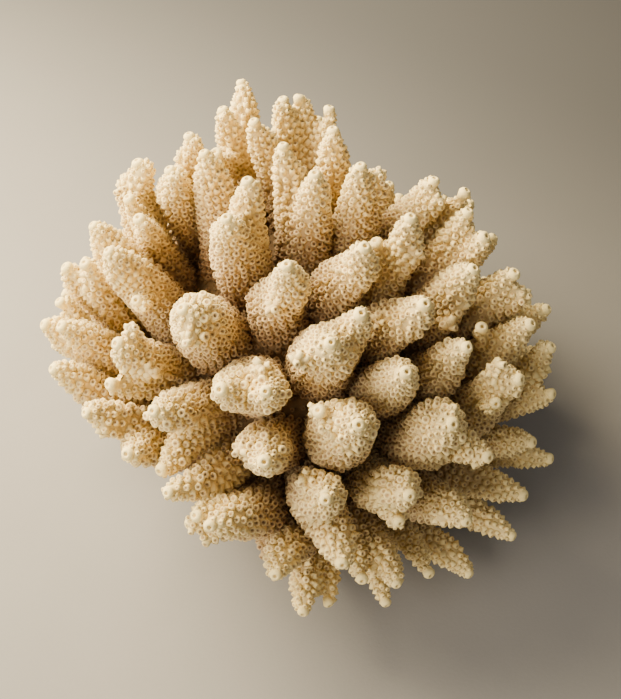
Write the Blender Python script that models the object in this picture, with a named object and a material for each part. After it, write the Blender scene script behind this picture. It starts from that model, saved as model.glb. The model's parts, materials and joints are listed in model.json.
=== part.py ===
"""Acropora coral: a dry colony of finger branches on a short trunk, cut off flat.

The trunk is one solid, and each main branch above it is a solid of its own, made
of one to three fingers that fork near the trunk, with their side lobes. Lengths
are in millimetres up to the point where they become Blender's metres. +Z is up,
-Y is the front, and the origin is the middle of the flat cut.

A direction is an azimuth (degrees from +X towards +Y, seen from above) and a tilt
(degrees from straight up), both seen from the growth point on the axis.
"""

import math
import random
from dataclasses import dataclass

import bmesh
import bpy
import numpy as np
from mathutils import Vector, noise

MM = 0.001
WELD = 0.00001

# Overall form: the finger tips stand on a dome, and a skirt limits it low down
GROWTH_HEIGHT = 8.0
DOME_CENTRE = (-6.0, 10.0, 36.0)
DOME_RADII = (104.0, 102.0, 98.0)
SKIRT_RADIUS = 90.0
SKIRT_EXTRA_LEFT = 16.0
SKIRT_EXTRA_BACK = 16.0
DOME_BLEND = 14

# Trunk: its reach is a share of the dome's, less near the ground
TRUNK_SHARE_TOP = 0.62
TRUNK_SHARE_LOW = 0.42
TRUNK_TILT_TOP = 28.0
TRUNK_TILT_LOW = 80.0
CUT_RADIUS = 37.0
CUT_EASE = 8.0
TRUNK_LUMP_HEIGHT = 2.2
TRUNK_LUMP_WIDTH = 24.0

# Fingers: radius at the shoulder of the tip, along the body and at the root
SLIM = (2.9, 4.3, 5.4)
MEDIUM = (3.5, 5.3, 7.8)
STOUT = (3.9, 6.4, 9.0)
BROAD = (4.8, 8.3, 10.5)
REAR = (3.5, 5.3, 7.6)
NUB = (2.4, 3.4, 3.8)
LOBE = (3.2, 4.6, 5.2)
TIP_ROUND = 2.0
TIP_FLAT = 0.45
BODY_BACK = 11.0
MIDDLE_SHARE = 0.55
MIDDLE_GROWTH = 0.6
ROOT_DEPTH = 6.0
ROOT_DEPTH_STEP = 1.7
ROOT_PULL = 0.45
UNEVEN_RADIUS = 0.06
UNEVEN_AXIS = 0.5

# Clearances
GAP = 0.3
SIDE_GAP = 0.9
LEAST_HEIGHT = 2.0

# How fingers that crowd each other lean apart before they are thinned
AXIS_SAMPLES = 6
LEAN_ROUNDS = 45
LEAN_MOST = 7.0
LEAN_FREEDOM = (0.0, 0.05, 0.35, 0.85, 1.0)
ROOT_SIGHT = 6.5
THIN_ROUNDS = 40
THIN_REACH = 1.6
THIN_LEAST = 0.6
NEAREST = 0.5

# Share of triangles kept where fingers of a branch merge
KEPT_SHARE = 0.77

# Colours: the trunk's shade, and the branches' lit cream in slightly different steps
TRUNK_COLOUR = (0.42, 0.31, 0.20)
BRANCH_COLOUR = (0.78, 0.62, 0.42)
SHADE_STEP = 0.02
SHADES = 4
TRUNK_ROUGHNESS = 0.85
BRANCH_ROUGHNESS = 0.8


@dataclass(frozen=True)
class Finger:
    """One finger: where its tip points, and how far it stands off the dome."""

    azimuth: float
    tilt: float
    stand: float = 0.0
    girth: tuple = MEDIUM


@dataclass(frozen=True)
class Lobe:
    """A side lobe that leaves finger number `on`, `back` mm behind its tip."""

    on: int
    back: float
    azimuth: float
    tilt: float
    stand: float
    girth: tuple = NUB


@dataclass(frozen=True)
class Branch:
    """A main branch: its root on the trunk, its fingers and their lobes."""

    name: str
    root: tuple
    fingers: tuple
    lobes: tuple = ()


# Crown: the fingers that stand nearly upright
CROWN = (
    Branch("crown_middle", (95, 12), (Finger(90, 4.5, 0, MEDIUM), Finger(115, 12, 0, MEDIUM))),
    Branch("crown_left", (160, 20), (Finger(155, 9.5, 0, MEDIUM), Finger(193, 12, 0, STOUT))),
    Branch("crown_front_left", (245, 12), (Finger(248, 10.5, 0, STOUT),), (Lobe(0, 18, 242, 17, -9),)),
    Branch("crown_front_right", (325, 10), (Finger(314, 9, 0, STOUT),)),
    Branch("crown_front", (280, 20), (Finger(274, 20.5, 0, BROAD), Finger(292, 17, 0, MEDIUM)),
           (Lobe(0, 12, 261, 23, -4, LOBE),)),
    Branch("crown_back", (80, 24), (Finger(81, 15, 0, MEDIUM),)),
    Branch("crown_back_right", (55, 17), (Finger(50, 9, 0, MEDIUM), Finger(42, 12.5, -2, SLIM))),
    Branch("crown_right", (0, 18), (Finger(358, 13, 0, MEDIUM), Finger(354, 8.5, -14, SLIM)),
           (Lobe(0, 22, 350, 16, -8, LOBE),)),
)

# Front: the fingers that point at the viewer and down to the ground
FRONT = (
    Branch("front_middle", (284, 30), (Finger(280.5, 32, 0, BROAD),),
           (Lobe(0, 14, 287, 33, -6, LOBE), Lobe(0, 16, 267, 29, -8, LOBE),
            Lobe(0, 14, 270, 32, -6), Lobe(0, 14, 277.5, 36.5, -7, LOBE))),
    Branch("left_front_broad", (208, 23), (Finger(219, 23.5, 0, BROAD),),
           (Lobe(0, 14, 227, 26.5, -1, LOBE), Lobe(0, 12, 216, 21.5, -3))),
    Branch("front_left_low", (254, 34), (Finger(257.5, 38, 0, STOUT), Finger(249.5, 37.5, -8, SLIM))),
    Branch("front_left_broad", (242, 26), (Finger(256, 28, 0, STOUT), Finger(242, 29.5, 0, STOUT)),
           (Lobe(0, 20, 249, 24, -6, LOBE),)),
    Branch("front_right_low", (295, 46), (Finger(290.5, 45, 0, STOUT), Finger(289.5, 54, -7, MEDIUM)),
           (Lobe(0, 12, 293, 42, -4),)),
    Branch("front_double", (272, 50), (Finger(272, 42, 0, STOUT), Finger(276, 58, 0, STOUT)),
           (Lobe(0, 18, 266, 40, -10, LOBE),)),
    Branch("front_foot_left", (262, 63), (Finger(261.5, 60, 0, MEDIUM), Finger(255, 71, -22, SLIM))),
    Branch("front_foot", (268, 78), (Finger(267, 77, 0, MEDIUM), Finger(274, 80, -4, SLIM))),
    Branch("front_foot_right", (285, 68),
           (Finger(288.5, 70, 0, MEDIUM), Finger(286.5, 81, 0, SLIM), Finger(280, 68, -4, SLIM))),
    Branch("front_left_foot", (256, 56), (Finger(248, 50, 0, STOUT),),
           (Lobe(0, 20, 243, 49, -2, LOBE), Lobe(0, 20, 242, 53, -2, LOBE), Lobe(0, 18, 246, 55, -2, LOBE))),
    Branch("front_right_foot", (308, 60), (Finger(304.5, 57, 0, STOUT),),
           (Lobe(0, 14, 299.5, 57, -7, LOBE),)),
    Branch("front_right_ground", (305, 80), (Finger(309.5, 86, 3, MEDIUM), Finger(298, 77, -3, SLIM))),
    Branch("front_right_high", (296, 28), (Finger(299, 27, 0, STOUT),)),
    Branch("front_right_fork", (311, 38), (Finger(305, 37, 0, BROAD), Finger(313, 47, 0, MEDIUM)),
           (Lobe(0, 8, 311, 35, -2), Lobe(0, 8, 309, 38, -1))),
    Branch("front_right_crown", (322, 20), (Finger(319, 20.5, 0, STOUT), Finger(310, 17, -16, SLIM))),
)

# Right: the fingers of the side in the shade
RIGHT = (
    Branch("right_broad", (350, 26), (Finger(345, 24, 0, STOUT),),
           (Lobe(0, 20, 343, 27, -8, LOBE), Lobe(0, 24, 339, 27, -10), Lobe(0, 30, 333, 27, -14))),
    Branch("right_upper", (8, 29), (Finger(1, 26, 0, MEDIUM), Finger(11, 23, 0, MEDIUM))),
    Branch("right_back_upper", (32, 27), (Finger(26, 18.5, 0, MEDIUM), Finger(20, 25, 0, SLIM)),
           (Lobe(0, 16, 17, 20, -2, LOBE),)),
    Branch("right_side", (356, 38), (Finger(354, 31, 0, MEDIUM), Finger(351, 35, 0, MEDIUM))),
    Branch("right_side_low", (349, 46), (Finger(344, 37, 0, MEDIUM), Finger(353, 41, 0, MEDIUM)),
           (Lobe(0, 24, 336, 30, -10),)),
    Branch("right_front_upper", (327, 30), (Finger(321, 29, 0, MEDIUM),)),
    Branch("right_outer", (347, 56),
           (Finger(345, 43.5, 0, MEDIUM), Finger(339, 52, 0, MEDIUM), Finger(345, 49, -3, SLIM))),
    Branch("right_front", (326, 44), (Finger(330, 40, 0, STOUT),),
           (Lobe(0, 16, 330, 36, -4, LOBE), Lobe(0, 16, 320, 41, -6, LOBE))),
    Branch("right_foot", (340, 70), (Finger(337, 71, 4, MEDIUM), Finger(331, 57, -3, MEDIUM))),
    Branch("right_front_low", (326, 64), (Finger(325, 69, 2, MEDIUM),)),
    Branch("right_front_foot", (324, 80), (Finger(320, 79, 5, MEDIUM),)),
)

# Left: the long fingers of the lit side
LEFT = (
    Branch("left_crown", (148, 34), (Finger(144, 19, 0, STOUT),)),
    Branch("left_back", (144, 44), (Finger(136, 25, 0, MEDIUM), Finger(153, 23, -3, STOUT)),
           (Lobe(0, 14, 141, 27, -4, LOBE),)),
    Branch("left_upper", (157, 41), (Finger(150, 30, 0, STOUT), Finger(163, 30.5, -3, SLIM)),
           (Lobe(1, 22, 172, 27, -6, LOBE),)),
    Branch("left_long", (174, 44), (Finger(172, 34, 0, STOUT), Finger(185, 30, 0, STOUT)),
           (Lobe(1, 26, 199, 30, -12, LOBE),)),
    Branch("left_side", (176, 56), (Finger(180, 40, 0, MEDIUM), Finger(182, 35, -2, SLIM))),
    Branch("left_outer", (188, 56), (Finger(188, 47, 0, STOUT), Finger(194, 42, 0, MEDIUM)),
           (Lobe(0, 20, 185, 42, -3, LOBE),)),
    Branch("left_front", (205, 40), (Finger(211, 34, 0, STOUT), Finger(212.5, 41, -5, SLIM)),
           (Lobe(0, 14, 207, 31, -3, LOBE), Lobe(0, 22, 219, 34, -8))),
    Branch("left_low", (202, 58), (Finger(199, 47, 0, MEDIUM), Finger(205, 52, -13, SLIM))),
    Branch("left_front_fork", (221, 38), (Finger(229, 37, 0, STOUT), Finger(233, 48, -8, MEDIUM)),
           (Lobe(0, 12, 226, 39, -3),)),
    Branch("left_front_low", (216, 54), (Finger(213, 45, 0, MEDIUM), Finger(226, 46, -3, MEDIUM)),
           (Lobe(0, 14, 218, 47, -3, LOBE),)),
    Branch("left_foot", (246, 46), (Finger(237, 48, 0, MEDIUM), Finger(240, 58, -9, SLIM))),
)

# Back: the far side, made like the rest
BACK = (
    Branch("back_left_tall", (116, 42), (Finger(109, 36, 6, MEDIUM), Finger(120, 29, 0, MEDIUM)),
           (Lobe(1, 22, 136, 22, -8),)),
    Branch("back_upper", (97, 34),
           (Finger(102, 27, 0, MEDIUM), Finger(94, 30, 0, MEDIUM), Finger(84, 28, -3, SLIM),
            Finger(117, 22, -2, MEDIUM))),
    Branch("back_right_upper", (64, 38), (Finger(58, 28, -23, REAR), Finger(74, 38, -27, REAR))),
    Branch("back_right_side", (36, 46),
           (Finger(36, 38, -13, REAR), Finger(29, 48, -14, REAR), Finger(44, 46, -19, SLIM))),
    Branch("back_right_outer", (12, 54), (Finger(12, 43, -14, REAR), Finger(7, 55, -7, REAR))),
    Branch("back_right_foot", (18, 74),
           (Finger(8, 70, -4, REAR), Finger(22, 66, -6, REAR), Finger(16, 82, -5, SLIM))),
    Branch("back_right_low", (46, 66),
           (Finger(40, 60, -10, REAR), Finger(48, 71, -4, REAR), Finger(36, 75, -8, SLIM))),
    Branch("back_low", (72, 62),
           (Finger(64, 56, -20, REAR), Finger(70, 69, -6, REAR), Finger(79, 59, -14, SLIM))),
    Branch("back_middle", (94, 54), (Finger(89, 46, -6, REAR), Finger(93, 58, 0, REAR))),
    Branch("back_left_low", (110, 66),
           (Finger(107, 57, -2, REAR), Finger(113, 68, 0, REAR), Finger(103, 75, -8, SLIM))),
    Branch("back_left_side", (129, 60), (Finger(124, 48, -14, REAR), Finger(131, 65, -4, REAR))),
    Branch("back_left_outer", (152, 64),
           (Finger(150, 53, -17, REAR), Finger(154, 65, -5, REAR), Finger(140, 69, -10, SLIM))),
    Branch("left_back_low", (172, 70),
           (Finger(168, 57, -9, REAR), Finger(174, 69, -4, REAR), Finger(165, 77, -8, SLIM))),
    Branch("back_ground", (86, 80), (Finger(88, 80, -4, REAR), Finger(78, 78, -8, REAR))),
)

BRANCHES = CROWN + FRONT + RIGHT + LEFT + BACK
GROWTH_POINT = Vector((0.0, 0.0, GROWTH_HEIGHT))


def clear_scene():
    """Remove what the new file starts with."""
    for item in list(bpy.data.objects):
        bpy.data.objects.remove(item, do_unlink=True)


def new_collection(name):
    """Return a collection of that name under the scene."""
    made = bpy.data.collections.new(name)
    bpy.context.scene.collection.children.link(made)
    return made


def new_material(name, colour, roughness):
    """Return a plain material with a colour and a roughness."""
    made = bpy.data.materials.new(name)
    made.use_nodes = True
    shader = made.node_tree.nodes["Principled BSDF"]
    shader.inputs["Base Color"].default_value = (*colour, 1.0)
    shader.inputs["Roughness"].default_value = roughness
    shader.inputs["Metallic"].default_value = 0.0
    return made


def direction(azimuth, tilt):
    """Unit vector of an azimuth and a tilt, both in degrees."""
    turn = math.radians(azimuth)
    lean = math.radians(tilt)
    flat = math.sin(lean)
    return Vector((flat * math.cos(turn), flat * math.sin(turn), math.cos(lean)))


def dome_reach(way):
    """Distance from the growth point to the dome of finger tips, along `way`."""
    offset = [(GROWTH_POINT[i] - DOME_CENTRE[i]) / DOME_RADII[i] for i in range(3)]
    step = [way[i] / DOME_RADII[i] for i in range(3)]
    square = sum(s * s for s in step)
    cross = 2.0 * sum(o * s for o, s in zip(offset, step))
    rest = sum(o * o for o in offset) - 1.0
    ball = (-cross + math.sqrt(cross * cross - 4.0 * square * rest)) / (2.0 * square)
    flat = max(math.hypot(way[0], way[1]), 1e-6)
    left = max(0.0, -way[0] / flat)
    back = max(0.0, way[1] / flat)
    skirt = (SKIRT_RADIUS + SKIRT_EXTRA_LEFT * left + SKIRT_EXTRA_BACK * back) / flat
    return (ball ** -DOME_BLEND + skirt ** -DOME_BLEND) ** (-1.0 / DOME_BLEND)


def smooth_step(value):
    """Ease from 0 to 1."""
    value = min(1.0, max(0.0, value))
    return value * value * (3.0 - 2.0 * value)


def trunk_reach(way):
    """Distance from the growth point to the trunk's lumpy surface, along `way`."""
    tilt = math.degrees(math.acos(max(-1.0, min(1.0, way[2]))))
    low = smooth_step((tilt - TRUNK_TILT_TOP) / (TRUNK_TILT_LOW - TRUNK_TILT_TOP))
    share = TRUNK_SHARE_TOP + (TRUNK_SHARE_LOW - TRUNK_SHARE_TOP) * low
    level = Vector(way)
    if level.z < 0.0:
        level = Vector((way[0] + 1e-6, way[1], 0.0)).normalized()
    reach = share * dome_reach(level)
    lump = noise.noise(Vector(level) * reach / TRUNK_LUMP_WIDTH)
    reach += TRUNK_LUMP_HEIGHT * lump
    if way[2] < 0.0:
        foot = CUT_RADIUS / max(math.hypot(way[0], way[1]), 1e-6)
        fall = smooth_step((tilt - 90.0) / CUT_EASE)
        reach = reach + (foot - reach) * fall
    return reach


def surface_point(azimuth, tilt, depth):
    """Point `depth` mm under the trunk's surface."""
    way = direction(azimuth, tilt)
    return GROWTH_POINT + way * (trunk_reach(way) - depth)


def tip_point(item):
    """Where a finger or a lobe ends."""
    way = direction(item.azimuth, item.tilt)
    return GROWTH_POINT + way * (dome_reach(way) + item.stand)


class Limb:
    """A finger or a lobe as an axis with a radius at each of its points."""

    def __init__(self, branch, start, pull, tip, girth, lobe, seed):
        """Lay the axis from `start`, leaving towards `pull`, to `tip`."""
        rand = random.Random(seed)
        self.branch = branch
        length = (tip - start).length
        tip_radius, body_radius, root_radius = girth
        self.slender = lobe or girth in (SLIM, REAR)
        self.bend = [start, start + pull * length * ROOT_PULL, tip]
        if lobe:
            backs = [0.0, TIP_ROUND, length]
            radii = [tip_radius * TIP_FLAT, tip_radius, root_radius]
        else:
            body = min(BODY_BACK, 0.35 * length)
            backs = [0.0, TIP_ROUND, body, MIDDLE_SHARE * length, length]
            middle_radius = body_radius + (root_radius - body_radius) * MIDDLE_GROWTH
            radii = [tip_radius * TIP_FLAT, tip_radius, body_radius, middle_radius, root_radius]
        self.length = length
        self.points = [self.at_back(back) for back in backs]
        self.radii = np.array(radii)
        for i in range(1, len(backs) - 1):
            side = Vector((rand.uniform(-1, 1), rand.uniform(-1, 1), rand.uniform(-1, 1)))
            if i > 1:
                self.points[i] = self.points[i] + side * UNEVEN_AXIS
            self.radii[i] *= 1.0 + rand.uniform(-UNEVEN_RADIUS, UNEVEN_RADIUS)

    def at_back(self, back):
        """Point on the bent axis about `back` mm behind the tip."""
        share = 1.0 - min(1.0, back / self.length)
        start, middle, tip = self.bend
        one = start.lerp(middle, share)
        two = middle.lerp(tip, share)
        straight = start.lerp(tip, share)
        return straight.lerp(one.lerp(two, share), 0.5)

    def samples(self, count):
        """Points along the axis, with the index and share of each one's segment."""
        out = []
        for i in range(len(self.points) - 1):
            for k in range(count):
                share = k / count
                out.append((self.points[i].lerp(self.points[i + 1], share), i, share))
        return out


def lay_limbs():
    """Make the limbs of every branch, each with room for its neighbours."""
    limbs = []
    for number, branch in enumerate(BRANCHES):
        fingers = []
        pull = direction(*branch.root)
        for i, item in enumerate(branch.fingers):
            start = surface_point(*branch.root, ROOT_DEPTH + ROOT_DEPTH_STEP * i)
            limb = Limb(branch.name, start, pull, tip_point(item), item.girth, False, 100 * number + i)
            fingers.append(limb)
        for i, item in enumerate(branch.lobes):
            owner = fingers[item.on]
            start = owner.at_back(item.back)
            tip = tip_point(item)
            aim = (tip - start).normalized()
            limb = Limb(branch.name, start, aim, tip, item.girth, True, 100 * number + 50 + i)
            fingers.append(limb)
        limbs.extend(fingers)
    give_room(limbs)
    return limbs


def outside_trunk(point):
    """Whether a point of an axis is clear of the trunk, or so near that its skin is."""
    way = point - GROWTH_POINT
    return way.length > trunk_reach(way.normalized()) - ROOT_SIGHT


class Crowd:
    """All limbs together, sampled along their axes to see where they touch."""

    def __init__(self, limbs):
        """Note each sample's limb, segment and share of the segment."""
        self.limbs = limbs
        rows = [(a, i, u) for a, limb in enumerate(limbs) for _, i, u in limb.samples(AXIS_SAMPLES)]
        self.first = np.array([r[0] for r in rows])
        self.part = np.array([r[1] for r in rows])
        self.share = np.array([r[2] for r in rows])
        branch = {name: k for k, name in enumerate(dict.fromkeys(limb.branch for limb in limbs))}
        self.branch = np.array([branch[limbs[a].branch] for a in self.first])
        most = max(len(limb.points) for limb in limbs)
        self.points = np.zeros((len(limbs), most, 3))
        self.radii = np.zeros((len(limbs), most))
        for a, limb in enumerate(limbs):
            for i, point in enumerate(limb.points):
                self.points[a, i] = point
                self.radii[a, i] = limb.radii[i]

    def touching(self):
        """Return the sample pairs that are too close, their distance and their width."""
        share = self.share[:, None]
        low, high = self.points[self.first, self.part], self.points[self.first, self.part + 1]
        self.place = low * (1 - share) + high * share
        thick = self.radii[self.first, self.part] * (1 - self.share)
        thick = thick + self.radii[self.first, self.part + 1] * self.share
        clear = np.array([outside_trunk(Vector(p)) for p in self.place])
        square = (self.place ** 2).sum(axis=1)
        apart = square[:, None] + square[None, :] - 2.0 * self.place @ self.place.T
        apart = np.sqrt(np.maximum(apart, 1e-6))
        width = thick[:, None] + thick[None, :]
        bad = (apart < width + SIDE_GAP) & (self.branch[:, None] != self.branch[None, :])
        bad &= clear[:, None] & clear[None, :]
        a, b = np.nonzero(np.triu(bad, 1))
        return a, b, apart[a, b], width[a, b]

    def lean_apart(self):
        """Push crowded axes away from each other, the roots most and the tips least."""
        home = self.points.copy()
        for _ in range(LEAN_ROUNDS):
            a, b, apart, width = self.touching()
            if not len(a):
                break
            push = np.zeros_like(self.points)
            count = np.zeros(self.radii.shape)
            away = (self.place[a] - self.place[b]) / apart[:, None]
            away = away * ((width + SIDE_GAP - apart) / 2.0)[:, None]
            for side, sign in ((a, 1.0), (b, -1.0)):
                for step, weight in ((0, 1.0 - self.share[side]), (1, self.share[side])):
                    at = (self.first[side], self.part[side] + step)
                    np.add.at(push, at, away * (sign * weight)[:, None])
                    np.add.at(count, at, weight)
            push = push / np.maximum(count, 1.0)[:, :, None]
            for k, limb in enumerate(self.limbs):
                last = len(limb.points) - 1
                for i in range(last + 1):
                    free = LEAN_FREEDOM[round(4 * i / last)] if last == 4 else 0.0
                    push[k, i] *= free
            self.points += push
            shift = self.points - home
            far = np.linalg.norm(shift, axis=2, keepdims=True)
            self.points = home + shift * np.minimum(1.0, LEAN_MOST / np.maximum(far, 1e-6))

    def thin(self):
        """Thin what still touches, and keep every limb off the ground."""
        for _ in range(THIN_ROUNDS):
            a, b, apart, width = self.touching()
            if not len(a):
                break
            need = np.ones_like(self.radii)
            factor = np.maximum(apart - SIDE_GAP, NEAREST) / width
            for side in (a, b):
                for step in (0, 1):
                    at = (self.first[side], self.part[side] + step)
                    weight = self.share[side] if step else 1.0 - self.share[side]
                    loss = (1.0 - factor) * np.minimum(1.0, THIN_REACH * weight)
                    np.minimum.at(need, at, 1.0 - loss)
            self.radii *= np.maximum(need, THIN_LEAST)
        for a, limb in enumerate(self.limbs):
            for i in range(len(limb.points)):
                self.points[a, i, 2] = max(self.points[a, i, 2], self.radii[a, i] + LEAST_HEIGHT)
                limb.points[i] = Vector(self.points[a, i])
                limb.radii[i] = self.radii[a, i]


def give_room(limbs):
    """Let crowded limbs lean apart, then thin those that would still touch."""
    crowd = Crowd(limbs)
    crowd.lean_apart()
    crowd.thin()


def limb_mesh(name, limb):
    """Return a closed mesh object of one limb, from a bevelled curve."""
    curve = bpy.data.curves.new(name, "CURVE")
    curve.dimensions = "3D"
    curve.bevel_depth = MM
    curve.bevel_resolution = 1 if limb.slender else 2
    curve.use_fill_caps = True
    spline = curve.splines.new("POLY")
    spline.points.add(len(limb.points) - 1)
    for target, point, radius in zip(spline.points, limb.points, limb.radii):
        target.co = (*(point * MM), 1.0)
        target.radius = float(radius)
    rope = bpy.data.objects.new(name + "_axis", curve)
    bpy.context.scene.collection.objects.link(rope)
    bpy.context.view_layer.update()
    graph = bpy.context.evaluated_depsgraph_get()
    mesh = bpy.data.meshes.new_from_object(rope.evaluated_get(graph))
    matrix = rope.matrix_world.copy()
    bpy.data.objects.remove(rope, do_unlink=True)
    bpy.data.curves.remove(curve)
    work = bmesh.new()
    work.from_mesh(mesh)
    bmesh.ops.remove_doubles(work, verts=work.verts, dist=WELD)
    bmesh.ops.recalc_face_normals(work, faces=work.faces)
    work.to_mesh(mesh)
    work.free()
    made = bpy.data.objects.new(name, mesh)
    made.matrix_world = matrix
    return made


def trunk_mesh(name, grow):
    """Return the trunk, or its cutter when `grow` mm is more than nothing."""
    work = bmesh.new()
    bmesh.ops.create_icosphere(work, subdivisions=3, radius=1.0)
    for vert in work.verts:
        way = vert.co.normalized()
        vert.co = (GROWTH_POINT + way * (trunk_reach(way) + grow)) * MM
    cut = bmesh.ops.bisect_plane(work, geom=work.verts[:] + work.edges[:] + work.faces[:],
                                 plane_co=(0, 0, -grow * MM), plane_no=(0, 0, -1), clear_outer=True)
    rim = [item for item in cut["geom_cut"] if isinstance(item, bmesh.types.BMEdge)]
    bmesh.ops.contextual_create(work, geom=rim)
    bmesh.ops.recalc_face_normals(work, faces=work.faces)
    mesh = bpy.data.meshes.new(name)
    work.to_mesh(mesh)
    work.free()
    return bpy.data.objects.new(name, mesh)


def add_boolean(target, tool, operation):
    """Join `tool` to `target`, or cut it away."""
    step = target.modifiers.new(operation.title() + " " + tool.name, "BOOLEAN")
    step.operation = operation
    step.solver = "EXACT"
    step.object = tool


def build():
    """Model the trunk and every branch."""
    clear_scene()
    coral = new_collection("Acropora coral")
    cutters = new_collection("Cutters")

    trunk = trunk_mesh("trunk", 0.0)
    trunk.data.materials.append(new_material("trunk", TRUNK_COLOUR, TRUNK_ROUGHNESS))
    trunk.data.shade_smooth()
    coral.objects.link(trunk)

    cutter = trunk_mesh("trunk_cutter", GAP)
    cutter.hide_render = True
    cutter.display_type = "WIRE"
    cutters.objects.link(cutter)

    groups = {}
    for limb in lay_limbs():
        groups.setdefault(limb.branch, []).append(limb)
    for number, (name, limbs) in enumerate(groups.items()):
        shade = 1.0 - SHADE_STEP * (number % SHADES)
        colour = [shade * part for part in BRANCH_COLOUR]
        body = limb_mesh(name, limbs[0])
        body.data.materials.append(new_material(name, colour, BRANCH_ROUGHNESS))
        coral.objects.link(body)
        for i, limb in enumerate(limbs[1:]):
            tool = limb_mesh("%s_limb_%d" % (name, i + 2), limb)
            tool.hide_render = True
            tool.display_type = "WIRE"
            cutters.objects.link(tool)
            add_boolean(body, tool, "UNION")
        if len(limbs) > 1:
            simpler = body.modifiers.new("Fewer faces", "DECIMATE")
            simpler.ratio = KEPT_SHARE
        add_boolean(body, cutter, "DIFFERENCE")
        body.data.shade_smooth()


if __name__ == "__main__":
    build()
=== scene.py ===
"""Acropora coral: the looks of a dry, bleached colony of finger branches.

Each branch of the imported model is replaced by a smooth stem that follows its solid,
set all over with small tubular corallites, and each finger ends in a larger one. The
trunk swells round the roots of the branches and has sparse pores of its own.
"""

import json
import logging
import math
from dataclasses import dataclass, field, fields
from enum import Enum
from typing import Callable, Sequence

import bmesh
import bpy
import numpy as np
from bpy.types import Material, Mesh, Object
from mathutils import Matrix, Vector
from mathutils.bvhtree import BVHTree
from mathutils.kdtree import KDTree

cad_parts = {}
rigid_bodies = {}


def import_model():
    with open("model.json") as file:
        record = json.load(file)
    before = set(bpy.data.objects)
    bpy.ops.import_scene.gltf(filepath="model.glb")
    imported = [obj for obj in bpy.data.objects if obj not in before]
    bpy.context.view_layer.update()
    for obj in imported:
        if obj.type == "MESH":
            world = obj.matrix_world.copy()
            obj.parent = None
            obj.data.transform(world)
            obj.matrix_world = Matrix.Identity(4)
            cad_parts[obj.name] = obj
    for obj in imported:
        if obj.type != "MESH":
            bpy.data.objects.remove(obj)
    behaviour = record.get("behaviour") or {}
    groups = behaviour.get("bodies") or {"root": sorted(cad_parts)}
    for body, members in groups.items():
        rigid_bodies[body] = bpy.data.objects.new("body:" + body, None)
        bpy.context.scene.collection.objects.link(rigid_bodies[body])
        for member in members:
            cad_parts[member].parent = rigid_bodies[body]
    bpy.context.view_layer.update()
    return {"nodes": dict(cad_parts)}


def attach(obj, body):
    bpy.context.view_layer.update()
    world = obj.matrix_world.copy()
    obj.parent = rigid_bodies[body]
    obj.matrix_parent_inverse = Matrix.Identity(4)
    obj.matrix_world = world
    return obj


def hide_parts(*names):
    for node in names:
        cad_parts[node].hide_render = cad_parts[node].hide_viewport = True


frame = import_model()

Array = np.ndarray
MM = 0.001

# Lengths closer than this count as the same, and normals steeper than this as upward
SLACK = 0.01 * MM
UPWARD = 0.9

# All branches grow out from here
GROWTH_POINT = np.array([0.0, 0.0, 8.0]) * MM

# Twelve directions round a ring, in radians
RING = np.arange(12)[:, None] * math.pi / 6.0

TRUNK = "trunk"
TRUNK_SEED = 900
FIRST_SEED = 100
SOLIDS = {name: node.data for name, node in frame["nodes"].items()}
log = logging.getLogger("acropora")


class Habit(Enum):
    """How the corallites of a branch stand."""

    SCALY = "pressed to the finger like scales"
    OPEN = "open rings side by side"
    TUBULAR = "separate tubes"
    KNOBBY = "cups that stick out round a blunt end"


@dataclass(frozen=True)
class Setting:
    """Sizes of the corallites of one habit, in metres and degrees.

    Attributes:
        spacing: room of one corallite, well back from the tip.
        scale: how wide it is beside its stamp.
        tall: how tall it is beside its width.
        lean: how far it leans towards the tip.
        cups: whether some grow out into cups round the end.
    """

    spacing: float
    scale: float
    tall: float
    lean: float
    cups: bool = False


SETTINGS = {
    Habit.SCALY: Setting(spacing=1.99 * MM, scale=1.05, tall=1.0, lean=50.0),
    Habit.OPEN: Setting(spacing=2.07 * MM, scale=1.08, tall=0.95, lean=41.0),
    Habit.TUBULAR: Setting(spacing=2.22 * MM, scale=1.13, tall=1.15, lean=43.0),
    Habit.KNOBBY: Setting(spacing=2.05 * MM, scale=1.07, tall=1.0, lean=44.0, cups=True),
}

# The branches of each habit as the photograph shows them; the rest are open
LISTED = {
    Habit.TUBULAR: (
        "front_foot", "front_foot_left", "front_foot_right", "front_left_foot", "left_foot",
        "left_front_low", "left_low", "front_double",
    ),
    Habit.KNOBBY: (
        "left_front_broad", "front_left_broad", "front_middle", "left_front_fork",
        "front_right_fork", "right_front", "front_right_low", "front_left_low",
    ),
    Habit.SCALY: (
        "crown_middle", "crown_left", "crown_front_left", "crown_front_right", "crown_back",
        "crown_back_right", "crown_right", "left_crown", "left_back", "back_left_tall",
        "back_upper", "left_upper", "left_long",
    ),
}


@dataclass(frozen=True)
class Stamp:
    """A small closed shape as arrays, ready to be copied many times.

    Attributes:
        points: corner places, one row a corner.
        corners: the corner of each face's loop, one after another.
        sizes: how many loops each face has.
        pore: painted shade of each corner, from 0 on the rim to 1 deep in the opening.
        depth: what each corner adds to its copy's depth value.
    """

    points: Array
    corners: Array
    sizes: Array
    pore: Array
    depth: Array


@dataclass
class Stand:
    """How copies of a stamp stand, one row a copy.

    Attributes:
        places: where each copy's origin is.
        axes: the direction of each copy's own +Z.
        sides: a direction that each copy's own +X leans to.
        scales: sideways scale and height scale.
        tone: lightness, from -1 to 1.
        depth: how far back from the tips, from 0 to 1.
    """

    places: Array
    axes: Array
    sides: Array
    scales: Array
    tone: Array
    depth: Array

    def only(self, mine: Array) -> "Stand":
        """Return the copies that `mine` says yes to."""
        return Stand(*(getattr(self, column.name)[mine] for column in fields(self)))


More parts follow.
